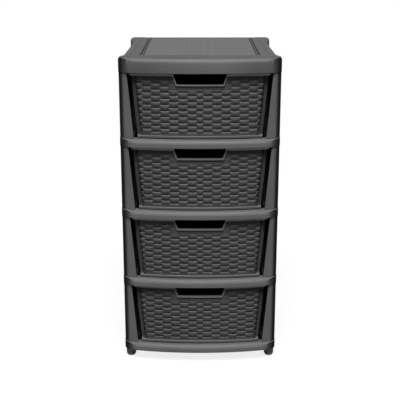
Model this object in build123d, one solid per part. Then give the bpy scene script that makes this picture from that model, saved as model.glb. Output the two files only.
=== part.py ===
"""Four-drawer floor tower in moulded plastic: a lid, four shelves, eight side panels, four drawers and four feet.

Millimetres, +Z up, front towards -Y, origin on the floor under the middle of the tower.
"""
import os
from math import cos, degrees, pi, sin, sqrt

from build123d import *

# Overall sizes
WIDTH = 380.0
DEPTH = 460.0
TIERS = 4
FOOT_HEIGHT = 26.0
SHELF_HEIGHT = 20.0
OPENING_HEIGHT = 155.0
LID_HEIGHT = 35.0

# Plan outline shared by the lid, the shelves and the side panels
FRONT_BOW = 22.0
END_LENGTH = 26.0
END_TURN = 9.0
END_RADIUS = 40.0
CORNER_RADIUS = 15.0
FRONT_EAR_LENGTH = 50.0
FRONT_SHOULDER = 25.0
FRONT_WAIST = 9.5
REAR_EAR_LENGTH = 35.0
REAR_SHOULDER = 65.0
REAR_WAIST = 13.5
SHOULDER_RADIUS = 14.0
WAIST_RADIUS = 40.0
REAR_INSET = 6.0
REAR_EAR_WIDTH = 36.0
REAR_STEP_LENGTH = 8.0

# Walls of the lid and the shelves, the open middle of a shelf and the ribs under the lid
WALL = 3.0
DECK = 2.5
FRONT_ROUND = 11.0
ROUND_STEPS = 4
INNER_ROUND = 8.5
INNER_STEPS = 2
FRONT_BAR = 20.0
REAR_BAR = 35.0
SIDE_BAR_LEDGE = 1.0
RIBS = 3
RIB = 2.0
RIB_DEPTH = 5.0

# Grooved field and border channels in the lid
FIELD_WIDTH = 262.0
FIELD_FRONT_MARGIN = 66.0
FIELD_REAR_MARGIN = 32.0
GROOVE_PITCH = 20.0
GROOVE_WIDTH = 1.6
GROOVE_DEPTH = 0.8
LINE_OFFSET = 1.5
CHANNEL_OFFSET = 7.5
CHANNEL_WIDTH = 4.0
CHANNEL_DEPTH = 1.6

# Square pegs on the side panels and feet, and the sleeves that take them
PEG_SIZE = 8.0
PEG_LENGTH = 9.0
PEG_CLEARANCE = 0.2
SLEEVE_WALL = 2.8
PEG_SIDE_INSET = 14.0
PEG_FRONT_INSET = 50.0
PEG_REAR_INSET = 25.0

# Side panels
PANEL_INSET = 0.6
POST_SETBACK = 7.0
POST_WIDTH_TOP = 20.2
POST_WIDTH_BOTTOM = 34.0
POST_DEPTH = 22.0
REAR_POST_WIDTH = 22.0
REAR_PLATE_DEPTH = 42.0
LEDGE_THICKNESS = 3.0
STOP_INSET = 107.0
STOP_THICKNESS = 3.0
STOP_OVERLAP_GAP = 1.0

# Drawers
DRAWER_WALL = 2.2
DRAWER_GAP_ABOVE = 2.0
DRAWER_GAP_BELOW = 2.0
DRAWER_SIDE_GAP = 8.8
DRAWER_CORNER = 9.0
DRAWER_REAR_DRAFT = 6.0
FLANGE_WIDTH = 5.0
FLANGE_THICKNESS = 3.0
FLANGE_START = 50.0
LUG_LENGTH = 10.0
LUG_WEB_GAP = 1.5
RUNNING_GAP = 0.3
STOP_GAP = 0.5

# Drawer front: rim, handle notch, foot band and woven field
RIM_SETBACK = 9.5
RIM_HEIGHT = 4.6
RIM_OVERHANG = 2.5
RIM_CORNER = 6.0
NOTCH_HALF_TOP = 62.0
NOTCH_HALF_BOTTOM = 53.5
NOTCH_DEPTH = 24.5
NOTCH_RIM = 3.2
BAND_SETBACK = 12.0
BAND_HEIGHT = 7.0
BAND_ROUND = 4.0
FIELD_SETBACK = 17.0
FIELD_MARGIN = 9.5
FIELD_OVERLAP = 0.8
COLUMN_PITCH = 21.2
CENTRE_COLUMN = 15.4
COLUMNS_EACH_SIDE = 7
COLUMN_GAP = 0.8
PILLOW_PITCH = 14.25
PILLOW_RELIEF = 3.4
PILLOW_HIP = 5.0
VALLEY_LIFT = 0.4
WEAVE_EMBED = 1.2

# Feet
FOOT_DIAMETER = 24.0
SOLE_DIAMETER = 20.0
SOLE_HEIGHT = 3.0
FLUTES = 12
FLUTE_DEPTH = 1.6

# Sizes worked out from those above
HALF_WIDTH = WIDTH / 2
FRONT = -DEPTH / 2
REAR = DEPTH / 2
BOW_RADIUS = (HALF_WIDTH**2 + FRONT_BOW**2) / (2 * FRONT_BOW)
BOW_CENTRE = FRONT + BOW_RADIUS
TIER_PITCH = SHELF_HEIGHT + OPENING_HEIGHT
PEG_X = HALF_WIDTH - PEG_SIDE_INSET
PEG_FRONT_Y = FRONT + PEG_FRONT_INSET
PEG_REAR_Y = REAR - PEG_REAR_INSET
PEG_POINTS = [(x, y) for x in (-PEG_X, PEG_X) for y in (PEG_FRONT_Y, PEG_REAR_Y)]
SOCKET_SIZE = PEG_SIZE + 2 * PEG_CLEARANCE
SLEEVE_SIZE = SOCKET_SIZE + 2 * SLEEVE_WALL
WAIST_END = FRONT + FRONT_EAR_LENGTH + FRONT_SHOULDER
WINDOW_HALF = HALF_WIDTH - POST_WIDTH_BOTTOM - SIDE_BAR_LEDGE
REAR_PLATE_FRONT = REAR - REAR_PLATE_DEPTH
DRAWER_BOTTOM = DRAWER_GAP_BELOW
DRAWER_TOP = OPENING_HEIGHT - DRAWER_GAP_ABOVE
DRAWER_HALF_TOP = HALF_WIDTH - POST_WIDTH_TOP - DRAWER_SIDE_GAP
DRAWER_HALF_BOTTOM = HALF_WIDTH - POST_WIDTH_BOTTOM - DRAWER_SIDE_GAP
FLANGE_HALF = DRAWER_HALF_TOP + FLANGE_WIDTH
FLANGE_FRONT = FRONT + FLANGE_START
FLANGE_REAR = REAR_PLATE_FRONT - STOP_GAP
DRAWER_REAR = FLANGE_REAR - FLANGE_WIDTH
LUG_HALF = HALF_WIDTH - REAR_WAIST - PANEL_INSET - WALL - LUG_WEB_GAP
RIM_HALF = DRAWER_HALF_TOP + RIM_OVERHANG
LEDGE_TOP = DRAWER_TOP - FLANGE_THICKNESS - RUNNING_GAP
LEDGE_HALF = DRAWER_HALF_TOP + RUNNING_GAP
BEYOND = 30.0

UPWARDS = (Align.CENTER, Align.CENTER, Align.MIN)


def front_y(x, setback):
    """Y of the bowed front, moved back by setback, at sideways position x."""
    return BOW_CENTRE - sqrt((BOW_RADIUS - setback) ** 2 - x**2)


def bowed_face(half, setback, back):
    """Plan face from the bowed front at setback to a straight edge at Y = back."""
    corner = front_y(half, setback)
    arc = ThreePointArc((-half, corner), (0, FRONT + setback), (half, corner))
    return make_face(arc + Polyline((half, corner), (half, back), (-half, back), (-half, corner)))


def polygon_xz(points):
    """Upright face through (x, z) points, facing the front."""
    return Plane.XZ * make_face(Polyline(*points, close=True))


def front_prism(points):
    """Upright polygon of (x, z) points, carried from the middle of the tower to beyond its front."""
    return extrude(polygon_xz(points), BEYOND - FRONT)


def box_between(low, high):
    """Box given by its lowest and highest corners."""
    size = [b - a for a, b in zip(low, high)]
    return Pos(*low) * Box(*size, align=(Align.MIN, Align.MIN, Align.MIN))


def corners_at(face, points):
    """The vertices of a plan face that lie at the given points or at their mirror images."""
    def matches(vertex):
        return any(abs(abs(vertex.X) - x) + abs(vertex.Y - y) < 0.01 for x, y in points)

    return [vertex for vertex in face.vertices() if matches(vertex)]


def sharp_plan(setback, inset, end_turn):
    """Outline of the tower in plan with sharp corners, whose front ends turn back from the bow by end_turn."""
    half = HALF_WIDTH - inset
    rear = REAR - inset
    bow_end = (half - END_LENGTH, front_y(half - END_LENGTH, setback))
    corner = (half, front_y(half, setback) + end_turn)
    ear_end = (half, FRONT + FRONT_EAR_LENGTH)
    waist_front = (half - FRONT_WAIST, WAIST_END)
    waist_rear = (half - REAR_WAIST, REAR - REAR_EAR_LENGTH - REAR_SHOULDER)
    ear_start = (half, REAR - REAR_EAR_LENGTH)
    rear_corner = (half, rear)
    step_out = (half - REAR_EAR_WIDTH, rear)
    step_in = (half - REAR_EAR_WIDTH - REAR_STEP_LENGTH, rear - REAR_INSET)
    right = [bow_end, corner, ear_end, waist_front, waist_rear, ear_start, rear_corner, step_out, step_in]
    left = [(-x, y) for x, y in reversed(right)]
    arc = ThreePointArc(left[-1], (0, FRONT + setback), bow_end)
    face = make_face(arc + Polyline(*right, *left))
    return face, [bow_end], [corner, rear_corner], [ear_end, ear_start], [waist_front, waist_rear]


def plan(setback, inset, end_turn=0):
    """Outline of the tower in plan: bowed front, corner ears, drawn-in sides and stepped rear."""
    face, bow_ends, corners, shoulders, waists = sharp_plan(setback, inset, end_turn)
    rounds = [(corners, CORNER_RADIUS), (shoulders, SHOULDER_RADIUS), (waists, WAIST_RADIUS)]
    if end_turn:
        rounds.append((bow_ends, END_RADIUS))
    for points, radius in rounds:
        face = fillet(corners_at(face, points), radius)
    return face


def inner_plan(setback, inset, end_turn=0):
    """Outline inside a wall, with bevelled corners and plain shoulders."""
    face, _, corners, *_ = sharp_plan(setback, inset, end_turn)
    return chamfer(corners_at(face, corners), CORNER_RADIUS - inset)


def rounded_block(setback, height, radius, steps):
    """Block turned about the bow's centre, whose top front edge is rounded in bevelled steps."""
    front = BOW_RADIUS - setback
    reach = radius / cos(pi / (4 * steps))
    profile = [(0, height), (0, 0), (front, 0)]
    for i in range(steps):
        angle = pi / 2 * (i + 0.5) / steps
        profile.append((front - radius + reach * cos(angle), height - radius + reach * sin(angle)))
    return Pos(0, BOW_CENTRE) * Rot(Z=180) * revolve(polygon_xz(profile), Axis.Z, 180)


def ribs_below(top):
    """Ribs across the width that hang under a deck at z = top."""
    rib = Box(WIDTH, RIB, RIB_DEPTH, align=(Align.CENTER, Align.CENTER, Align.MAX))
    return [Pos(0, FRONT + DEPTH * (i + 1) / (RIBS + 1), top) * rib for i in range(RIBS)]


def moulding(height, socket_depth, webs):
    """Lid or shelf that stands on z = 0: hollow shell with webs under its deck and a peg sleeve in each corner."""
    under_deck = height - DECK
    outer = extrude(plan(0, 0, END_TURN), height) & rounded_block(0, height, FRONT_ROUND, ROUND_STEPS)
    inner_front = rounded_block(WALL, under_deck, INNER_ROUND, INNER_STEPS)
    hollow = extrude(inner_plan(WALL, WALL, END_TURN), under_deck) & inner_front
    sleeve = Box(SLEEVE_SIZE, SLEEVE_SIZE, under_deck, align=UPWARDS)
    socket = Box(SOCKET_SIZE, SOCKET_SIZE, socket_depth, align=UPWARDS)
    hollow = hollow - webs
    hollow = hollow - [Pos(x, y) * sleeve for x, y in PEG_POINTS]
    return outer - hollow - [Pos(x, y) * socket for x, y in PEG_POINTS]


def window(grow):
    """Prism through the open middle of a shelf, grown on all sides."""
    return extrude(bowed_face(WINDOW_HALF + grow, FRONT_BAR - grow, REAR - REAR_BAR + grow), SHELF_HEIGHT)


def shelf():
    """Shelf frame with an open middle, whose bowed front bar is the rail under a drawer."""
    return moulding(SHELF_HEIGHT, SHELF_HEIGHT, [window(WALL)]) - window(0)


def lid_cut(x, width, depth):
    """Straight cut that runs from front to rear along the lid's field."""
    length = DEPTH - FIELD_FRONT_MARGIN - FIELD_REAR_MARGIN
    middle = (FIELD_FRONT_MARGIN - FIELD_REAR_MARGIN) / 2
    return Pos(x, middle, LID_HEIGHT) * Box(width, length, 2 * depth)


def lid():
    """Top panel with a grooved field between two border channels."""
    half_field = FIELD_WIDTH / 2
    grooves_each_side = int(half_field / GROOVE_PITCH)
    cuts = []
    for side in (-1, 1):
        cuts.append(lid_cut(side * (half_field + CHANNEL_OFFSET), CHANNEL_WIDTH, CHANNEL_DEPTH))
        cuts.append(lid_cut(side * (half_field + LINE_OFFSET), GROOVE_WIDTH, GROOVE_DEPTH))
        for i in range(grooves_each_side):
            cuts.append(lid_cut(side * GROOVE_PITCH * (i + 0.5), GROOVE_WIDTH, GROOVE_DEPTH))
    return moulding(LID_HEIGHT, LID_HEIGHT - DECK, ribs_below(LID_HEIGHT - DECK)) - cuts


def peg():
    """Square peg that stands on z = 0."""
    return Box(PEG_SIZE, PEG_SIZE, PEG_LENGTH, align=UPWARDS)


def post_space(narrowing):
    """Space outside the right front post's sloped inner edge, which can be moved outwards."""
    bottom = HALF_WIDTH - POST_WIDTH_BOTTOM + narrowing
    top = HALF_WIDTH - POST_WIDTH_TOP + narrowing
    outside = HALF_WIDTH + BEYOND
    return front_prism([(bottom, 0), (outside, 0), (outside, OPENING_HEIGHT), (top, OPENING_HEIGHT)])


def post_return():
    """Wall that turns backwards along the front post's sloped inner edge."""
    back = front_y(HALF_WIDTH, POST_SETBACK) + POST_DEPTH
    depth_limit = box_between((0, FRONT, 0), (WIDTH, back, OPENING_HEIGHT))
    return (post_space(0) - post_space(WALL)) & depth_limit


def end_plates(region):
    """Plates that close both posts at the foot and the head of a side panel."""
    plates = []
    for z in (0, OPENING_HEIGHT - WALL):
        plates.append(box_between((0, FRONT, z), (WIDTH, WAIST_END, z + WALL)) & region)
        plates.append(box_between((0, REAR_PLATE_FRONT, z), (WIDTH, REAR, z + WALL)) & region)
    return plates


def runner():
    """Ledge that carries a drawer's flange, and the stop that a drawer's lug meets."""
    back = front_y(HALF_WIDTH, POST_SETBACK) + POST_DEPTH
    under = LEDGE_TOP - LEDGE_THICKNESS
    stop_inner = FLANGE_HALF + STOP_OVERLAP_GAP
    stop_back = FRONT + STOP_INSET
    ledge = box_between((LEDGE_HALF, back, under), (WIDTH, REAR_PLATE_FRONT, LEDGE_TOP))
    stop_low = (stop_inner, stop_back - STOP_THICKNESS, under)
    return [ledge, box_between(stop_low, (WIDTH, stop_back, OPENING_HEIGHT))]


def right_side():
    """Right side panel: front post, drawn-in web, rear post, runner, stop and pegs."""
    outline = plan(POST_SETBACK, PANEL_INSET)
    full = extrude(outline, OPENING_HEIGHT)
    walls = extrude(outline - inner_plan(POST_SETBACK + WALL, PANEL_INSET + WALL), OPENING_HEIGHT)
    rear_space = box_between((HALF_WIDTH - REAR_POST_WIDTH, 0, 0), (WIDTH, REAR, OPENING_HEIGHT))
    region = post_space(0) + rear_space
    panel = walls & region
    for piece in [post_return()] + end_plates(region) + runner():
        panel = panel + (piece & full)
    for y in (PEG_FRONT_Y, PEG_REAR_Y):
        panel = panel + Pos(PEG_X, y, OPENING_HEIGHT) * peg()
        panel = panel + Pos(PEG_X, y, 0) * Rot(X=180) * peg()
    return panel


def tub(shrink):
    """Tapered solid tub of a drawer with bevelled corners, drawn in all round by shrink."""
    faces = []
    for z, half, rear in (
        (DRAWER_BOTTOM, DRAWER_HALF_BOTTOM, DRAWER_REAR - DRAWER_REAR_DRAFT),
        (DRAWER_TOP, DRAWER_HALF_TOP, DRAWER_REAR),
    ):
        face = bowed_face(half - shrink, FIELD_SETBACK + shrink, rear - shrink)
        faces.append(Pos(Z=z) * chamfer(face.vertices(), DRAWER_CORNER - shrink))
    return loft(faces, ruled=True)


def notch_points(grow, top):
    """Trapezoid of the handle notch, grown on its sides and foot, up to z = top."""
    slope = (NOTCH_HALF_TOP - NOTCH_HALF_BOTTOM) / NOTCH_DEPTH
    low = DRAWER_TOP - NOTCH_DEPTH - grow
    half_low = NOTCH_HALF_BOTTOM + grow * (sqrt(1 + slope**2) - slope)
    half_high = half_low + slope * (top - low)
    return [(-half_high, top), (-half_low, low), (half_low, low), (half_high, top)]


def rim():
    """Rim along the drawer front's top edge that dips round the handle notch."""
    face = bowed_face(RIM_HALF, RIM_SETBACK, FLANGE_FRONT)
    front_corners = face.vertices().sort_by(Axis.Y)[:2]
    edge = Pos(Z=DRAWER_TOP - RIM_HEIGHT) * extrude(fillet(front_corners, RIM_CORNER), RIM_HEIGHT)
    shield = bowed_face(RIM_HALF, RIM_SETBACK, 0) - bowed_face(WIDTH, FIELD_SETBACK + WEAVE_EMBED, BEYOND)
    return [edge, extrude(shield, OPENING_HEIGHT) & front_prism(notch_points(NOTCH_RIM, DRAWER_TOP))]


def band():
    """Smooth band along the foot of the drawer front, with a bevelled upper edge."""
    strip = extrude(bowed_face(DRAWER_HALF_BOTTOM, BAND_SETBACK, FLANGE_FRONT), BAND_HEIGHT)
    return Pos(Z=DRAWER_BOTTOM) * (strip & rounded_block(BAND_SETBACK, BAND_HEIGHT, BAND_ROUND, INNER_STEPS))


def flange():
    """Flange round the tub's top, with a stop lug at each rear corner."""
    low = DRAWER_TOP - FLANGE_THICKNESS
    ring = box_between((-FLANGE_HALF, FLANGE_FRONT, low), (FLANGE_HALF, FLANGE_REAR, DRAWER_TOP))
    lugs = box_between((-LUG_HALF, FLANGE_REAR - LUG_LENGTH, low), (LUG_HALF, FLANGE_REAR, DRAWER_TOP))
    return [ring, lugs]


def weave_column(along, width, lift):
    """Column of pillows at a distance along the bow from its middle, raised by lift."""
    root = FRONT + FIELD_SETBACK + WEAVE_EMBED
    valley = FRONT + FIELD_SETBACK - VALLEY_LIFT
    crest = FRONT + FIELD_SETBACK - PILLOW_RELIEF
    half = (width - COLUMN_GAP) / 2
    low = DRAWER_BOTTOM + BAND_HEIGHT + lift - PILLOW_PITCH
    count = int((DRAWER_TOP - low) / PILLOW_PITCH) + 1
    profile = [(root, low), (valley, low)]
    for i in range(count):
        profile.append((crest, low + (i + 0.5) * PILLOW_PITCH))
        profile.append((valley, low + (i + 1) * PILLOW_PITCH))
    profile.append((root, low + count * PILLOW_PITCH))
    ridges = extrude(Plane.YZ * make_face(Polyline(*profile, close=True)), half, both=True)
    across = [(-half, root), (half, root), (half - PILLOW_HIP, crest), (PILLOW_HIP - half, crest)]
    column = ridges & extrude(make_face(Polyline(*across, close=True)), OPENING_HEIGHT + BEYOND)
    turn = degrees(along / (BOW_RADIUS - FIELD_SETBACK))
    return Pos(0, BOW_CENTRE) * Rot(Z=turn) * Pos(0, -BOW_CENTRE) * column


def weave():
    """Woven field: columns of pillows, every other one lifted by half a pitch, inside the drawer front's frame."""
    low = DRAWER_BOTTOM + BAND_HEIGHT - FIELD_OVERLAP
    high = DRAWER_TOP - RIM_HEIGHT + FIELD_OVERLAP
    half_low = DRAWER_HALF_BOTTOM - FIELD_MARGIN
    half_high = DRAWER_HALF_TOP - FIELD_MARGIN
    field = front_prism([(-half_low, low), (half_low, low), (half_high, high), (-half_high, high)])
    field = field - front_prism(notch_points(NOTCH_RIM - FIELD_OVERLAP, OPENING_HEIGHT))
    columns = [weave_column(0, CENTRE_COLUMN, 0)]
    for i in range(COLUMNS_EACH_SIDE):
        along = CENTRE_COLUMN / 2 + COLUMN_PITCH * (i + 0.5)
        lift = PILLOW_PITCH / 2 * ((i + 1) % 2)
        columns.append(weave_column(along, COLUMN_PITCH, lift))
        columns.append(weave_column(-along, COLUMN_PITCH, lift))
    return [column & field for column in columns]


def drawer():
    """One-piece drawer: tapered tub, woven front, rim, handle notch, flange and lugs."""
    floor = box_between((-WIDTH, FRONT, 0), (WIDTH, REAR, DRAWER_BOTTOM + DRAWER_WALL))
    inside = tub(DRAWER_WALL) - floor
    solid = tub(0) + rim() + [band()] + flange()
    solid = solid - inside - front_prism(notch_points(0, OPENING_HEIGHT))
    return solid + weave()


def foot():
    """Fluted foot on a narrower sole, with a peg on top."""
    outline = []
    for i in range(2 * FLUTES):
        radius = FOOT_DIAMETER / 2 - FLUTE_DEPTH * (i % 2)
        angle = pi * i / FLUTES
        outline.append((radius * cos(angle), radius * sin(angle)))
    shaft = extrude(make_face(Polyline(*outline, close=True)), FOOT_HEIGHT - SOLE_HEIGHT)
    sole = extrude(RegularPolygon(SOLE_DIAMETER / 2, FLUTES), SOLE_HEIGHT)
    return sole + Pos(Z=SOLE_HEIGHT) * shaft + Pos(Z=FOOT_HEIGHT) * peg()


def save(solid, name):
    """Write one piece of the tower."""
    export_step(solid, f"parts/{name}.step")


def main():
    """Build each moulding once and place its copies."""
    os.makedirs("parts", exist_ok=True)
    shelf_form = shelf()
    right_form = right_side()
    left_form = mirror(right_form, about=Plane.YZ)
    drawer_form = drawer()
    for tier in range(1, TIERS + 1):
        shelf_z = FOOT_HEIGHT + TIER_PITCH * (TIERS - tier)
        opening = Pos(Z=shelf_z + SHELF_HEIGHT)
        shelf_name = "base_shelf" if tier == TIERS else f"shelf_{tier}"
        save(Pos(Z=shelf_z) * shelf_form, shelf_name)
        save(opening * right_form, f"right_side_{tier}")
        save(opening * left_form, f"left_side_{tier}")
        save(opening * drawer_form, f"drawer_{tier}")
    save(Pos(Z=FOOT_HEIGHT + TIER_PITCH * TIERS) * lid(), "top_panel")
    foot_form = foot()
    for end, y in (("front", PEG_FRONT_Y), ("rear", PEG_REAR_Y)):
        for side, x in (("left", -PEG_X), ("right", PEG_X)):
            save(Pos(x, y) * foot_form, f"foot_{end}_{side}")


main()
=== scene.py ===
"""Looks of the four-drawer tower: studio, moulded plastic and woven drawer fronts.

Metres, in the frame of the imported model: +Z up, front towards -Y, origin on the floor under the middle.
"""
import math

import bmesh
import bpy
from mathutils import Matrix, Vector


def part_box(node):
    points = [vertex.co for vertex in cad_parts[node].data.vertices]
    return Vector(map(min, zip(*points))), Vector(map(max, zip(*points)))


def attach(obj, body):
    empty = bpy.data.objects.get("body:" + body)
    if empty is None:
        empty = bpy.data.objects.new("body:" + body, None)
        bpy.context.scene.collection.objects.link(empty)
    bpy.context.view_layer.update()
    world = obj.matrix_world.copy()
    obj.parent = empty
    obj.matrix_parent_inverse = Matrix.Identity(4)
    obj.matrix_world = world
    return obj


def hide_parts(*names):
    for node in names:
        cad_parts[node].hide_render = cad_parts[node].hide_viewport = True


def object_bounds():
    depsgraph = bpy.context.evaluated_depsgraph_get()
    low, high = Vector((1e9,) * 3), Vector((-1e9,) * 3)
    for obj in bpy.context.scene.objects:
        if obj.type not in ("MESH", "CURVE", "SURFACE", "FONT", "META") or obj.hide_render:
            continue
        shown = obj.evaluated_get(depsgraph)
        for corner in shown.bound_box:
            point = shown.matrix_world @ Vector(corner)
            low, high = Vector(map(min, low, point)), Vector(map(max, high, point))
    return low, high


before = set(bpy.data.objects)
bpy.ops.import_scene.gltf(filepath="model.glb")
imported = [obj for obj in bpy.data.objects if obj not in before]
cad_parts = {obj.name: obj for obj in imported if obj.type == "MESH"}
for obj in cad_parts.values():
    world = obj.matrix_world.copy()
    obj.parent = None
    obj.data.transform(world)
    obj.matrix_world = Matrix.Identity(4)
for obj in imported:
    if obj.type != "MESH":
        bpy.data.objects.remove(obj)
CAD_LOW, CAD_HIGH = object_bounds()

TIERS = 4
DRAWER_LOW, DRAWER_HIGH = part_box("drawer_1")
DRAWER_HEIGHT = DRAWER_HIGH.z - DRAWER_LOW.z
TIER_PITCH = DRAWER_LOW.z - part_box("drawer_2")[0].z

# Camera at the photograph's viewing angle, tilt in degrees and lens in millimetres
CAMERA_PLACE = (0.0, -2.204, 1.019)
CAMERA_TILT = 16.7
LENS = 78.05

# Studio lights: elevation in degrees, and the backdrop as how far a direction points to the rear
KEY_DISTANCE = 12.0
KEY_ELEVATION = 60.0
KEY_SIZE = 6.2
KEY_POWER = 2150.0
AMBIENT = 0.05
BACK_LIGHT = 1.2
BACK_MIRRORED = 0.3
BACKDROP = (0.25, 0.85)

# Floor, whose tone differs for what the camera sees, for bounced light and for reflections, and which is
# painted dark as a shadow under the tower
FLOOR_RADIUS = 6.0
FLOOR_SIDES = 96
FLOOR_DROP = 0.0003
FLOOR_FADE = (0.5, 1.4)
FLOOR_LIFT = 0.82
FLOOR_SEEN = 0.85
FLOOR_BOUNCE = 0.32
FLOOR_REFLECTED_AND_SHADOW = 0.05
SHADOW_ACROSS = (0.158, 0.197)
SHADOW_ALONG = (0.09, 0.17)

# Bow of the tower's front, and the field, rim and handle notch of a drawer front
FRONT_BOW = 0.022
FIELD_SETBACK = 0.017
FIELD_HALF_LOW = 0.1392
FIELD_HALF_HIGH = 0.1535
FIELD_OVERLAP = 0.0005
BAND_HEIGHT = 0.007
RIM_HEIGHT = 0.0046
NOTCH_HALF_TOP = 0.062
NOTCH_HALF_LOW = 0.0535
NOTCH_DEPTH = 0.0245
NOTCH_RIM = 0.0032

# Weave of the field: columns of staggered pillows, each with a lens-shaped recess at its foot that is painted
# dark as shade
COLUMN_PITCH = 0.0212
CENTRE_COLUMN = 0.0154
PILLOW_PITCH = 0.01425
VALLEY_LIFT = 0.0006
PILLOW_RELIEF = 0.0040
PILLOW_FULLNESS = 0.32
PILLOW_SAG = 0.0010
PILLOW_DIP = 0.45
PLATEAU = 0.75
LENS_RISE = (0.3, 1.0)
LENS_FADE = 0.4
FADE_LENGTH = 0.013
NOTCH_PLAIN = 0.005
BAND_STEEPNESS = 1.4
EDGE_FADE = 0.002
SKIRT_DEPTH = 0.0012
STEP_ALONG = 0.0015
STEP_UP = 0.0009
PAINTED_SHADE_ATTRIBUTE = "weave_painted_shade"

# Tones of the plastic, as linear grey; the feet's tone is raised as painted light, for light bounced up from
# the floor onto them
FRAME_TONE = 0.100
DRAWER_TONE = 0.080
WEAVE_TONE = 0.064
FEET_TONE_WITH_PAINTED_BOUNCE = 0.180

# Surface of the plastic: gloss, clouding, grain, and edges that handling has polished
ROUGHNESS = 0.52
GLOSS = 0.3
CLOUD_SCALE = 9.0
CLOUD_DETAIL = 3.0
CLOUD_RANGE = (0.3, 0.7)
CLOUD_TONE = 0.06
CLOUD_ROUGHNESS = 0.04
GRAIN_SCALE = 2600.0
GRAIN_DETAIL = 2.0
GRAIN_DEPTH = 0.0004
GRAIN_STRENGTH = 0.10
REED_PITCH = PILLOW_PITCH / 4
REED_STRENGTH = 0.6
FRAME_EDGE = 0.0014
FINE_EDGE = 0.0010
WEAVE_EDGE = 0.0004
EDGE_SAMPLES = 4
EDGE_LEAN = (0.98, 0.75)
EDGE_LIGHTENING = 1.25
EDGE_POLISH = 0.08

# Directions of a surface, each as a range of one component of its normal
FRONTAL = (-0.05, -0.35)
UPRIGHT = (0.15, 0.5)
UPWARD = (0.8, 0.95)
INWARD = (-0.3, -0.8)
ROUND_START = (0.17, 0.21)
ROUND_END = (0.21, 0.6)

# Painted shade along the front (ends by distance from the tower's side, gaps by distance from its middle and
# front) and a painted highlight on its rounded edge
FRONT_REACH = 0.05
FRONT_FADE = 0.018
RAIL_END = (0.004, 0.032)
LID_END = (0.003, 0.027)
POST_END = (0.006, 0.0155)
END_PAINTED_SHADE = 0.08
# Painted shade on the lid's front, darkening towards its sides
LID_SIDE = (0.04, 0.17)
LID_SIDE_PAINTED_SHADE = 0.74
GAP_ACROSS = (0.145, 0.175)
GAP_ALONG = (0.035, 0.15)
GAP_SOFT = 0.005
RETURN_PAINTED_SHADE = 0.15
ROUND_PAINTED_HIGHLIGHT = 1.45

# Painted light and shade on the drawers: a paler rim and notch rim, a darker border and top of the weave, and
# shade in the recess under each pillow
RIM_PAINTED_LIGHT = 3.0
NOTCH_PAINTED_LIGHT = 1.4
BORDER = (0.003, 0.009)
BORDER_PAINTED_SHADE = 0.25
TOP_REACH = (0.006, 0.045)
TOP_PAINTED_SHADOW = 0.7
LENS_PAINTED_SHADE = 0.56

# Field of the lid, its grooves painted lighter against their shade, and the channels beside it painted as
# dark lines of shade
LID_FIELD_HALF = 0.131
LID_FRONT_MARGIN = 0.066
LID_REAR_MARGIN = 0.032
GROOVE_PITCH = 0.020
GROOVE_HALF = 0.0009
LINE_OFFSET = 0.001
LINE_HALF = 0.0016
CHANNEL_OFFSET = 0.0075
CHANNEL_HALF = 0.0022
MARGIN_TINT = 0.72
GROOVE_PAINTED_LIGHT = 1.3
LINE_PAINTED_SHADE = 0.3
CHANNEL_PAINTED_SHADE = 0.2

# Soft edge of every shaded stripe and step
SOFT_EDGE = 0.0006

# Rounding of the lid's side and rear edges, and smooth shading
LID_ROUND = 0.006
LID_ROUND_STEPS = 4
LID_ROUND_PROFILE = 0.5
FLAT_ANGLE = math.radians(0.5)
SKIRT_MINIMUM = 0.01
SKIRT_TILT = 0.05
LEVEL = 0.99
SMOOTH_ANGLE = math.radians(35)
WELD = 0.00001


# Node helpers


def add_node(tree, kind, **settings):
    """New node with its inputs set by name, and its own properties for names that are no input."""
    made = tree.nodes.new(kind)
    for name, value in settings.items():
        label = name.replace("_", " ").title()
        if label in made.inputs:
            made.inputs[label].default_value = value
        else:
            setattr(made, name, value)
    return made


def math_node(tree, operation, first, second):
    """Math node whose two inputs are sockets or numbers."""
    made = tree.nodes.new("ShaderNodeMath")
    made.operation = operation
    for socket, value in zip(made.inputs, (first, second)):
        if isinstance(value, (int, float)):
            socket.default_value = value
        else:
            tree.links.new(value, socket)
    return made.outputs["Value"]


def product(tree, first, *others):
    """Product of sockets or numbers."""
    for other in others:
        first = math_node(tree, "MULTIPLY", first, other)
    return first


def opposite(tree, share):
    """1 less a share."""
    return math_node(tree, "SUBTRACT", 1.0, share)


def magnitude(tree, value):
    """Value without its sign."""
    return math_node(tree, "ABSOLUTE", value, 0.0)


def range_node(tree, value, from_low, from_high, to_low, to_high):
    """Value mapped from one range to another and kept inside it."""
    limits = {"from_min": from_low, "from_max": from_high, "to_min": to_low, "to_max": to_high}
    made = add_node(tree, "ShaderNodeMapRange", **limits)
    tree.links.new(value, made.inputs["Value"])
    return made.outputs["Result"]


def smooth_range(tree, value, from_low, from_high):
    """Value mapped smoothly from one range to 0 to 1."""
    made = add_node(tree, "ShaderNodeMapRange", from_min=from_low, from_max=from_high)
    made.interpolation_type = "SMOOTHSTEP"
    tree.links.new(value, made.inputs["Value"])
    return made.outputs["Result"]


def soft_step(tree, value, edge):
    """0 below an edge and 1 above it, with a soft step."""
    return range_node(tree, value, edge - SOFT_EDGE, edge, 0.0, 1.0)


def stripe(tree, distance, half):
    """1 inside a stripe of a given half width about distance 0, else 0, with a soft edge."""
    return range_node(tree, magnitude(tree, distance), half, half + SOFT_EDGE, 1.0, 0.0)


def blend(tree, share, tint):
    """Factor that runs from 1 to tint as share runs from 0 to 1."""
    return range_node(tree, share, 0.0, 1.0, 1.0, tint)


def split(tree, vector):
    """The three components of a vector."""
    apart = tree.nodes.new("ShaderNodeSeparateXYZ")
    tree.links.new(vector, apart.inputs[0])
    return [apart.outputs[axis] for axis in "XYZ"]


def grey(tree, value):
    """Grey colour of a given value."""
    ramp = tree.nodes.new("ShaderNodeValToRGB")
    tree.links.new(value, ramp.inputs["Fac"])
    return ramp.outputs["Color"]


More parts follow.
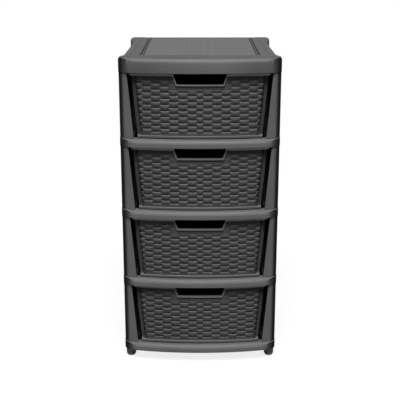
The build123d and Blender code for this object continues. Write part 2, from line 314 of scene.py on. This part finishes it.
def noise(tree, coordinate, scale, detail):
    """Noise factor over a coordinate."""
    made = add_node(tree, "ShaderNodeTexNoise", scale=scale, detail=detail)
    tree.links.new(coordinate, made.inputs["Vector"])
    return made.outputs["Fac"]


def own_place(tree):
    """The object's own coordinates."""
    return tree.nodes.new("ShaderNodeTexCoord").outputs["Object"]


def facing(tree):
    """The three components of the surface's direction, along the object's own axes."""
    return split(tree, tree.nodes.new("ShaderNodeTexCoord").outputs["Normal"])


def new_material(name):
    """Empty node material with its output node."""
    material = bpy.data.materials.new(name)
    material.use_nodes = True
    material.node_tree.nodes.clear()
    return material, material.node_tree, material.node_tree.nodes.new("ShaderNodeOutputMaterial")


# Plastic


def edge_share(tree, soft_normal):
    """How far a softened normal leans away from the face: 0 on open faces, up to 1 along edges."""
    face_normal = tree.nodes.new("ShaderNodeNewGeometry").outputs["Normal"]
    lean = tree.nodes.new("ShaderNodeVectorMath")
    lean.operation = "DOT_PRODUCT"
    tree.links.new(soft_normal, lean.inputs[0])
    tree.links.new(face_normal, lean.inputs[1])
    return range_node(tree, lean.outputs["Value"], *EDGE_LEAN, 0.0, 1.0)


def clouded(tree, clouds, middle, spread):
    """Value that clouds about a middle."""
    return range_node(tree, clouds, *CLOUD_RANGE, middle - spread, middle + spread)


def plastic(name, tone, edge_radius, grain, grain_strength, tint=None):
    """Moulded plastic with surface grain, faint clouding, and softened edges that handling has polished.

    The grain and the tint are functions that take the node tree and the object's own coordinates; the tint
    carries painted light and shade.
    """
    material, tree, output = new_material(name)
    place = own_place(tree)
    clouds = noise(tree, place, CLOUD_SCALE, CLOUD_DETAIL)
    bevel = add_node(tree, "ShaderNodeBevel", samples=EDGE_SAMPLES, radius=edge_radius)
    soft_normal = bevel.outputs["Normal"]
    polish = edge_share(tree, soft_normal)
    shade = clouded(tree, clouds, tone, tone * CLOUD_TONE)
    shade = product(tree, shade, blend(tree, polish, EDGE_LIGHTENING))
    # Painted light and shade by place, multiplied into the base colour
    if tint:
        shade = product(tree, shade, tint(tree, place))
    rough = clouded(tree, clouds, ROUGHNESS, CLOUD_ROUGHNESS)
    rough = math_node(tree, "SUBTRACT", rough, range_node(tree, polish, 0.0, 1.0, 0.0, EDGE_POLISH))
    bump = add_node(tree, "ShaderNodeBump", strength=grain_strength, distance=GRAIN_DEPTH)
    tree.links.new(grain(tree, place), bump.inputs["Height"])
    tree.links.new(soft_normal, bump.inputs["Normal"])
    shader = tree.nodes.new("ShaderNodeBsdfPrincipled")
    shader.inputs["Specular IOR Level"].default_value = GLOSS
    tree.links.new(grey(tree, shade), shader.inputs["Base Color"])
    tree.links.new(rough, shader.inputs["Roughness"])
    tree.links.new(bump.outputs["Normal"], shader.inputs["Normal"])
    tree.links.new(shader.outputs["BSDF"], output.inputs["Surface"])
    return material


def moulded_grain(tree, place):
    """Fine spark-eroded grain of the mould."""
    return noise(tree, place, GRAIN_SCALE, GRAIN_DETAIL)


def reed_grain(tree, place):
    """Rounded reeds that run across the pillows of the weave."""
    climb = math_node(tree, "SUBTRACT", split(tree, place)[2], BAND_HEIGHT)
    wave = math_node(tree, "SINE", product(tree, climb, math.pi / REED_PITCH), 0.0)
    return magnitude(tree, wave)


# Painted light and shade by place on the object


def near_front(tree, place):
    """1 close to the tower's front, fading to 0 behind its corners."""
    limit = CAD_LOW.y + FRONT_REACH
    return range_node(tree, split(tree, place)[1], limit, limit + FRONT_FADE, 1.0, 0.0)


def on_front(tree, place):
    """1 on upright surfaces that face the front, close to the tower's front."""
    _, ahead, rise = facing(tree)
    frontal = range_node(tree, ahead, *FRONTAL, 0.0, 1.0)
    upright = range_node(tree, rise, *UPRIGHT, 1.0, 0.0)
    return product(tree, frontal, upright, near_front(tree, place))


def painted_end_shade(tree, place, ends, shade=END_PAINTED_SHADE):
    """Factor of painted shade that darkens a front towards its ends, between two distances from the tower's
    side.
    """
    inwards = math_node(tree, "SUBTRACT", CAD_HIGH.x, magnitude(tree, split(tree, place)[0]))
    outer = opposite(tree, smooth_range(tree, inwards, *ends))
    return blend(tree, product(tree, outer, on_front(tree, place)), shade)


def painted_round_highlight(tree, place):
    """Factor of painted highlight that lightens the lower half of the rounded top edge along the front."""
    rise = facing(tree)[2]
    start = range_node(tree, rise, *ROUND_START, 0.0, 1.0)
    end = range_node(tree, rise, *ROUND_END, 1.0, 0.0)
    return blend(tree, product(tree, start, end, near_front(tree, place)), ROUND_PAINTED_HIGHLIGHT)


def painted_gap_shade(tree, place):
    """Factor of painted shade that darkens a shelf's deck and inner walls in the gaps beside a drawer."""
    x, y, _ = split(tree, place)
    inner, outer = GAP_ACROSS
    beside = math_node(tree, "SUBTRACT", magnitude(tree, x), (inner + outer) / 2)
    start, end = [CAD_LOW.y + distance for distance in GAP_ALONG]
    behind = range_node(tree, y, start, start + GAP_SOFT, 0.0, 1.0)
    before = range_node(tree, y, end, end + GAP_SOFT, 1.0, 0.0)
    share = product(tree, stripe(tree, beside, (outer - inner) / 2), behind, before)
    return blend(tree, share, RETURN_PAINTED_SHADE)


def rail_painted_shading(tree, place):
    """Painted shade on the rounded ends of the shelf rails and in the gaps behind, and a painted highlight on
    their rounded edge.
    """
    return product(tree, painted_end_shade(tree, place, RAIL_END), painted_round_highlight(tree, place), painted_gap_shade(tree, place))


def post_painted_shade(tree, place):
    """Painted shade on the outer corners of the posts and on the returns beside the drawers."""
    lean = product(tree, facing(tree)[0], math_node(tree, "SIGN", split(tree, place)[0], 0.0))
    inner = product(tree, range_node(tree, lean, *INWARD, 0.0, 1.0), near_front(tree, place))
    return product(tree, painted_end_shade(tree, place, POST_END), blend(tree, inner, RETURN_PAINTED_SHADE))


def drawer_painted_light(tree, place):
    """Painted light: a paler rim along the top edge of each drawer and around its handle notch."""
    x, _, z = split(tree, place)
    up = math_node(tree, "FLOORED_MODULO", math_node(tree, "SUBTRACT", z, DRAWER_LOW.z), TIER_PITCH)
    rim = soft_step(tree, up, DRAWER_HEIGHT - RIM_HEIGHT)
    notch_low = DRAWER_HEIGHT - NOTCH_DEPTH - NOTCH_RIM
    half = range_node(tree, up, notch_low, DRAWER_HEIGHT, NOTCH_HALF_LOW, NOTCH_HALF_TOP)
    outside = math_node(tree, "SUBTRACT", magnitude(tree, x), half)
    beside = opposite(tree, soft_step(tree, outside, NOTCH_RIM + SOFT_EDGE))
    above = soft_step(tree, up, notch_low)
    notch = product(tree, beside, above, near_front(tree, place), opposite(tree, rim))
    return product(tree, blend(tree, rim, RIM_PAINTED_LIGHT), blend(tree, notch, NOTCH_PAINTED_LIGHT))


def weave_painted_shading(tree, place):
    """Painted shade on the weave: along the sides of the field, along its top as a shadow of the rail above,
    and in the recess under each pillow.
    """
    x, _, z = split(tree, place)
    half = range_node(tree, z, 0.0, DRAWER_HEIGHT, FIELD_HALF_LOW, FIELD_HALF_HIGH)
    inwards = math_node(tree, "SUBTRACT", half, magnitude(tree, x))
    border = range_node(tree, inwards, *BORDER, BORDER_PAINTED_SHADE, 1.0)
    down = math_node(tree, "SUBTRACT", DRAWER_HEIGHT, z)
    top = range_node(tree, down, *TOP_REACH, TOP_PAINTED_SHADOW, 1.0)
    shade = add_node(tree, "ShaderNodeAttribute", attribute_name=PAINTED_SHADE_ATTRIBUTE).outputs["Fac"]
    return product(tree, border, top, range_node(tree, shade, 0.0, 1.0, LENS_PAINTED_SHADE, 1.0))


def lid_field_and_painted_shading(tree, place):
    """Paler field in the lid's top, with channels beside it painted as dark lines of shade, grooves painted
    lighter against their shade, and painted shade and highlight on the front.
    """
    x, y, _ = split(tree, place)
    aside = magnitude(tree, x)
    upwards = range_node(tree, facing(tree)[2], *UPWARD, 0.0, 1.0)
    front = CAD_LOW.y + LID_FRONT_MARGIN
    rear = CAD_HIGH.y - LID_REAR_MARGIN
    along = stripe(tree, math_node(tree, "SUBTRACT", y, (front + rear) / 2), (rear - front) / 2)
    margin = opposite(tree, product(tree, stripe(tree, x, LID_FIELD_HALF), along))
    tints = [
        painted_end_shade(tree, place, LID_END),
        painted_end_shade(tree, place, LID_SIDE, LID_SIDE_PAINTED_SHADE),
        painted_round_highlight(tree, place),
        blend(tree, product(tree, margin, upwards), MARGIN_TINT),
    ]
    shifted = math_node(tree, "ADD", aside, GROOVE_PITCH / 2)
    from_groove = math_node(tree, "PINGPONG", shifted, GROOVE_PITCH / 2)
    from_line = math_node(tree, "SUBTRACT", aside, LID_FIELD_HALF + LINE_OFFSET)
    from_channel = math_node(tree, "SUBTRACT", aside, LID_FIELD_HALF + CHANNEL_OFFSET)
    for distance, half, tint in (
        (from_groove, GROOVE_HALF, GROOVE_PAINTED_LIGHT),
        (from_line, LINE_HALF, LINE_PAINTED_SHADE),
        (from_channel, CHANNEL_HALF, CHANNEL_PAINTED_SHADE),
    ):
        share = product(tree, stripe(tree, distance, half), along, upwards)
        tints.append(blend(tree, share, tint))
    return product(tree, *tints)


# Studio


def add_camera():
    """Camera at the photograph's viewing angle."""
    data = bpy.data.cameras.new("camera")
    data.lens = LENS
    camera = bpy.data.objects.new("camera", data)
    camera.location = CAMERA_PLACE
    camera.rotation_euler = (math.radians(90 - CAMERA_TILT), 0, 0)
    bpy.context.scene.collection.objects.link(camera)
    bpy.context.scene.camera = camera
    bpy.context.scene.view_settings.view_transform = "Standard"


def add_key_light():
    """Large soft light in front of the tower and above it."""
    data = bpy.data.lights.new("key_light", "AREA")
    data.shape = "DISK"
    data.size = KEY_SIZE
    data.energy = KEY_POWER
    light = bpy.data.objects.new("key_light", data)
    rise = math.radians(KEY_ELEVATION)
    middle = (CAD_LOW.z + CAD_HIGH.z) / 2
    light.location = (0, -KEY_DISTANCE * math.cos(rise), middle + KEY_DISTANCE * math.sin(rise))
    light.rotation_euler = (math.pi / 2 - rise, 0, 0)
    bpy.context.scene.collection.objects.link(light)


def add_world():
    """White to the camera; to everything else a dim grey with a pale backdrop behind the tower."""
    world = bpy.data.worlds.new("studio")
    world.use_nodes = True
    tree = world.node_tree
    tree.nodes.clear()
    output = tree.nodes.new("ShaderNodeOutputWorld")
    background = add_node(tree, "ShaderNodeBackground", color=(1, 1, 1, 1))
    rays = tree.nodes.new("ShaderNodeLightPath").outputs
    direction = split(tree, tree.nodes.new("ShaderNodeTexCoord").outputs["Generated"])
    backdrop = range_node(tree, direction[1], *BACKDROP, 0.0, 1.0)
    glow = range_node(tree, rays["Is Glossy Ray"], 0.0, 1.0, BACK_LIGHT, BACK_MIRRORED)
    level = math_node(tree, "ADD", product(tree, backdrop, glow), AMBIENT)
    level = product(tree, level, opposite(tree, rays["Is Camera Ray"]))
    tree.links.new(math_node(tree, "ADD", level, rays["Is Camera Ray"]), background.inputs["Strength"])
    tree.links.new(background.outputs["Background"], output.inputs["Surface"])
    bpy.context.scene.world = world


def under_tower(tree, place):
    """1 on the floor below the tower, where a shadow is painted, fading to 0 around it."""
    across, along, _ = split(tree, place)
    sideways = smooth_range(tree, magnitude(tree, across), *SHADOW_ACROSS)
    lengthways = smooth_range(tree, magnitude(tree, along), *SHADOW_ALONG)
    return product(tree, opposite(tree, sideways), opposite(tree, lengthways))


def floor_paint():
    """Pale floor that keeps the shadow near the object, with a shadow painted dark under the tower, and runs
    into the white background further out.
    """
    material, tree, output = new_material("floor_paint")
    rays = tree.nodes.new("ShaderNodeLightPath").outputs
    place = own_place(tree)
    away = tree.nodes.new("ShaderNodeVectorMath")
    away.operation = "LENGTH"
    tree.links.new(place, away.inputs[0])
    below = under_tower(tree, place)
    seen = product(tree, opposite(tree, below), rays["Is Camera Ray"])
    dim = math_node(tree, "MAXIMUM", below, rays["Is Glossy Ray"])
    bounce = range_node(tree, dim, 0.0, 1.0, FLOOR_BOUNCE, FLOOR_REFLECTED_AND_SHADOW)
    tone = math_node(tree, "MAXIMUM", bounce, product(tree, seen, FLOOR_SEEN))
    matt = tree.nodes.new("ShaderNodeBsdfDiffuse")
    tree.links.new(grey(tree, tone), matt.inputs["Color"])
    white = add_node(tree, "ShaderNodeEmission", strength=1.0)
    far = range_node(tree, away.outputs["Value"], *FLOOR_FADE, FLOOR_LIFT, 1.0)
    mix = tree.nodes.new("ShaderNodeMixShader")
    tree.links.new(product(tree, far, seen), mix.inputs["Fac"])
    tree.links.new(matt.outputs["BSDF"], mix.inputs[1])
    tree.links.new(white.outputs["Emission"], mix.inputs[2])
    tree.links.new(mix.outputs["Shader"], output.inputs["Surface"])
    return material


def add_floor():
    """Round pale floor under the feet."""
    mesh = bpy.data.meshes.new("floor")
    shape = bmesh.new()
    bmesh.ops.create_circle(shape, cap_ends=True, segments=FLOOR_SIDES, radius=FLOOR_RADIUS)
    shape.to_mesh(mesh)
    shape.free()
    mesh.materials.append(floor_paint())
    floor = bpy.data.objects.new("floor", mesh)
    floor.location.z = CAD_LOW.z - FLOOR_DROP
    bpy.context.scene.collection.objects.link(floor)


# Woven drawer fronts


def bow_point(along, proud, up):
    """Point by its distance along the bow, how proud of the field it is, and its height on the drawer."""
    half = CAD_HIGH.x
    bow_radius = (half**2 + FRONT_BOW**2) / (2 * FRONT_BOW)
    bow_centre = CAD_LOW.y + bow_radius
    radius = bow_radius - FIELD_SETBACK
    turn = along / radius
    reach = radius + proud
    return (reach * math.sin(turn), bow_centre - reach * math.cos(turn), up)


def smooth_step(share):
    """Share kept between 0 and 1, eased at both ends."""
    share = min(max(share, 0), 1)
    return share * share * (3 - 2 * share)


def weave_strength(along, up):
    """How far the pillows have risen from the plain edge along rim, notch and foot band, from 0 to 1."""
    notch_low = DRAWER_HEIGHT - NOTCH_DEPTH - NOTCH_RIM
    below_rim = DRAWER_HEIGHT - RIM_HEIGHT - up
    past_notch = max(notch_low - NOTCH_PLAIN - up, abs(along) - NOTCH_HALF_TOP)
    above_band = BAND_STEEPNESS * (up - BAND_HEIGHT)
    return smooth_step(min(below_rim, past_notch, above_band) / FADE_LENGTH)


def pillow_place(along, up):
    """Place on a pillow: 0 to 1 from its column's middle to the side, and 0 to 1 from its foot to its top."""
    past_centre = (abs(along) - CENTRE_COLUMN / 2) / COLUMN_PITCH
    if past_centre < 0:
        across = abs(along) / (CENTRE_COLUMN / 2)
        lift = 0
    else:
        column = int(past_centre)
        across = abs(2 * (past_centre - column) - 1)
        lift = PILLOW_PITCH / 2 * ((column + 1) % 2)
    climb = (up - BAND_HEIGHT - lift - PILLOW_SAG * across**2) / PILLOW_PITCH
    return across, climb % 1


def weave_height(along, up):
    """How far the weave stands out at a place on the field."""
    across, climb = pillow_place(along, up)
    bulge = math.sin(math.pi * climb) ** PILLOW_FULLNESS * (1 - PILLOW_DIP * across**4)
    return VALLEY_LIFT + PILLOW_RELIEF * (PLATEAU + (bulge - PLATEAU) * weave_strength(along, up))


def weave_painted_shade(along, up):
    """Painted shade: 1 on the top of each pillow, down to 0 in the lens-shaped recess under it."""
    across, climb = pillow_place(along, up)
    low, high = LENS_RISE
    lens = (1 - smooth_step((climb - low) / (high - low))) * (1 - LENS_FADE * across**4)
    return 1 - weave_strength(along, up) * lens


def field_half(up):
    """Half width of the woven field at a height above the drawer's foot."""
    return FIELD_HALF_LOW + (FIELD_HALF_HIGH - FIELD_HALF_LOW) * up / DRAWER_HEIGHT


def notch_half(up):
    """Half width of the handle notch to the middle of its rim at a height above the drawer's foot."""
    above = up - (DRAWER_HEIGHT - NOTCH_DEPTH)
    return NOTCH_HALF_LOW + NOTCH_RIM / 2 + (NOTCH_HALF_TOP - NOTCH_HALF_LOW) * above / NOTCH_DEPTH


def even_places(start, end, steps):
    """Evenly spaced places from start to end."""
    return [start + (end - start) * i / steps for i in range(steps + 1)]


def weave_vertex(shape, along, up):
    """Vertex on the weave, with its painted shade."""
    margin = min(1, (field_half(up) - abs(along)) / EDGE_FADE)
    vertex = shape.verts.new(bow_point(along, weave_height(along, up) * max(margin, 0), up))
    vertex[shape.verts.layers.float[PAINTED_SHADE_ATTRIBUTE]] = weave_painted_shade(along, up)
    return vertex


def back_vertex(shape, along, up):
    """Vertex behind the weave, inside the drawer's front wall."""
    return shape.verts.new(bow_point(along, -SKIRT_DEPTH, up))


def add_patch(shape, low, high, inner, outer):
    """Patch of weave between two heights and two edges, whose rim turns back into the drawer's front wall.

    The inner and the outer edge are functions of the height.
    """
    columns = round((outer(high) - inner(high)) / STEP_ALONG)
    heights = even_places(low, high, round((high - low) / STEP_UP))
    grid = []
    for up in heights:
        start, end = inner(up), outer(up)
        line = [weave_vertex(shape, along, up) for along in even_places(start, end, columns)]
        grid.append([back_vertex(shape, start, up)] + line + [back_vertex(shape, end, up)])
    skirts = []
    for up in (low, high):
        start, end = inner(up), outer(up)
        places = [start] + even_places(start, end, columns) + [end]
        skirts.append([back_vertex(shape, along, up) for along in places])
    grid = [skirts[0]] + grid + [skirts[1]]
    for lower, upper in zip(grid, grid[1:]):
        for i in range(len(lower) - 1):
            shape.faces.new((lower[i], lower[i + 1], upper[i + 1], upper[i]))


def weave_mesh():
    """Woven field of one drawer front in three patches: below the handle notch and on both sides of it."""
    bottom = BAND_HEIGHT - FIELD_OVERLAP
    notch_low = DRAWER_HEIGHT - NOTCH_DEPTH - NOTCH_RIM / 2
    top = DRAWER_HEIGHT - RIM_HEIGHT / 2
    shape = bmesh.new()
    shape.verts.layers.float.new(PAINTED_SHADE_ATTRIBUTE)
    add_patch(shape, bottom, notch_low, lambda up: -field_half(up), field_half)
    add_patch(shape, notch_low, top, notch_half, field_half)
    add_patch(shape, notch_low, top, lambda up: -field_half(up), lambda up: -notch_half(up))
    bmesh.ops.remove_doubles(shape, verts=shape.verts, dist=WELD)
    for face in shape.faces:
        face.smooth = True
    mesh = bpy.data.meshes.new("woven_front")
    shape.to_mesh(mesh)
    shape.free()
    return mesh


def add_weaves():
    """Woven front on each drawer, riding with it."""
    material = plastic("woven_plastic", WEAVE_TONE, WEAVE_EDGE, reed_grain, REED_STRENGTH, weave_painted_shading)
    mesh = weave_mesh()
    mesh.materials.append(material)
    for tier in range(1, TIERS + 1):
        name = f"drawer_{tier}"
        panel = bpy.data.objects.new(f"woven_front_{tier}", mesh)
        panel.location.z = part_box(name)[0].z
        bpy.context.scene.collection.objects.link(panel)
        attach(panel, name)


# Finish of the CAD nodes


def smooth_by_angle():
    """Geometry node group that welds a mesh and shades it smooth across shallow edges."""
    group = bpy.data.node_groups.new("smooth_by_angle", "GeometryNodeTree")
    group.interface.new_socket("Geometry", in_out="INPUT", socket_type="NodeSocketGeometry")
    group.interface.new_socket("Geometry", in_out="OUTPUT", socket_type="NodeSocketGeometry")
    start = group.nodes.new("NodeGroupInput")
    end = group.nodes.new("NodeGroupOutput")
    weld = add_node(group, "GeometryNodeMergeByDistance", distance=WELD)
    smooth = add_node(group, "GeometryNodeSetShadeSmooth", domain="FACE")
    sharp = add_node(group, "GeometryNodeSetShadeSmooth", domain="EDGE")
    sharp.inputs["Shade Smooth"].default_value = False
    angle = group.nodes.new("GeometryNodeInputMeshEdgeAngle")
    steep = add_node(group, "FunctionNodeCompare", operation="GREATER_THAN", b=SMOOTH_ANGLE)
    group.links.new(angle.outputs["Unsigned Angle"], steep.inputs["A"])
    group.links.new(start.outputs[0], weld.inputs["Geometry"])
    group.links.new(weld.outputs["Geometry"], smooth.inputs["Geometry"])
    group.links.new(smooth.outputs["Geometry"], sharp.inputs["Geometry"])
    group.links.new(steep.outputs["Result"], sharp.inputs["Selection"])
    group.links.new(sharp.outputs["Geometry"], end.inputs[0])
    return group


def is_lid_edge(edge):
    """Whether an edge lies between the lid's top and its skirt."""
    if len(edge.link_faces) != 2:
        return False
    skirt, top = sorted(edge.link_faces, key=lambda face: face.normal.z)
    depth = CAD_HIGH.z - min(vert.co.z for vert in skirt.verts)
    return top.normal.z > LEVEL and abs(skirt.normal.z) < SKIRT_TILT and depth > SKIRT_MINIMUM


def lid_mesh():
    """The CAD lid's mesh with its side and rear edges rounded."""
    shape = bmesh.new()
    shape.from_mesh(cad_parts["top_panel"].data)
    bmesh.ops.remove_doubles(shape, verts=shape.verts, dist=WELD)
    bmesh.ops.dissolve_limit(shape, angle_limit=FLAT_ANGLE, verts=shape.verts, edges=shape.edges)
    bmesh.ops.bevel(
        shape,
        geom=[edge for edge in shape.edges if is_lid_edge(edge)],
        offset=LID_ROUND,
        offset_type="OFFSET",
        segments=LID_ROUND_STEPS,
        profile=LID_ROUND_PROFILE,
        affect="EDGES",
    )
    mesh = bpy.data.meshes.new("rounded_lid")
    shape.to_mesh(mesh)
    shape.free()
    return mesh


def add_rounded_lid(material, smoothing):
    """Lid with rounded side and rear edges, in place of the CAD lid."""
    mesh = lid_mesh()
    mesh.materials.append(material)
    lid = bpy.data.objects.new("rounded_lid", mesh)
    bpy.context.scene.collection.objects.link(lid)
    lid.modifiers.new("smooth_by_angle", "NODES").node_group = smoothing
    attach(lid, "tower")
    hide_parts("top_panel")


def grained(name, tone, edge_radius, tint=None):
    """Plastic with the fine grain of the mould."""
    return plastic(name, tone, edge_radius, moulded_grain, GRAIN_STRENGTH, tint)


def finish_nodes():
    """Plastic, chosen by a word in the node's name, and smooth shading for every CAD node."""
    looks = {
        "shelf": grained("rail_plastic", FRAME_TONE, FRAME_EDGE, rail_painted_shading),
        "side": grained("post_plastic", FRAME_TONE, FRAME_EDGE, post_painted_shade),
        "panel": grained("lid_plastic", FRAME_TONE, FRAME_EDGE, lid_field_and_painted_shading),
        "drawer": grained("drawer_plastic", DRAWER_TONE, FINE_EDGE, drawer_painted_light),
        "foot": grained("foot_plastic", FEET_TONE_WITH_PAINTED_BOUNCE, FINE_EDGE),
    }
    smoothing = smooth_by_angle()
    for name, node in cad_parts.items():
        material = next(look for word, look in looks.items() if word in name)
        for slot in node.material_slots:
            slot.material = material
        node.modifiers.new("smooth_by_angle", "NODES").node_group = smoothing
    add_rounded_lid(looks["panel"], smoothing)


add_camera()
add_key_light()
add_world()
add_floor()
finish_nodes()
add_weaves()
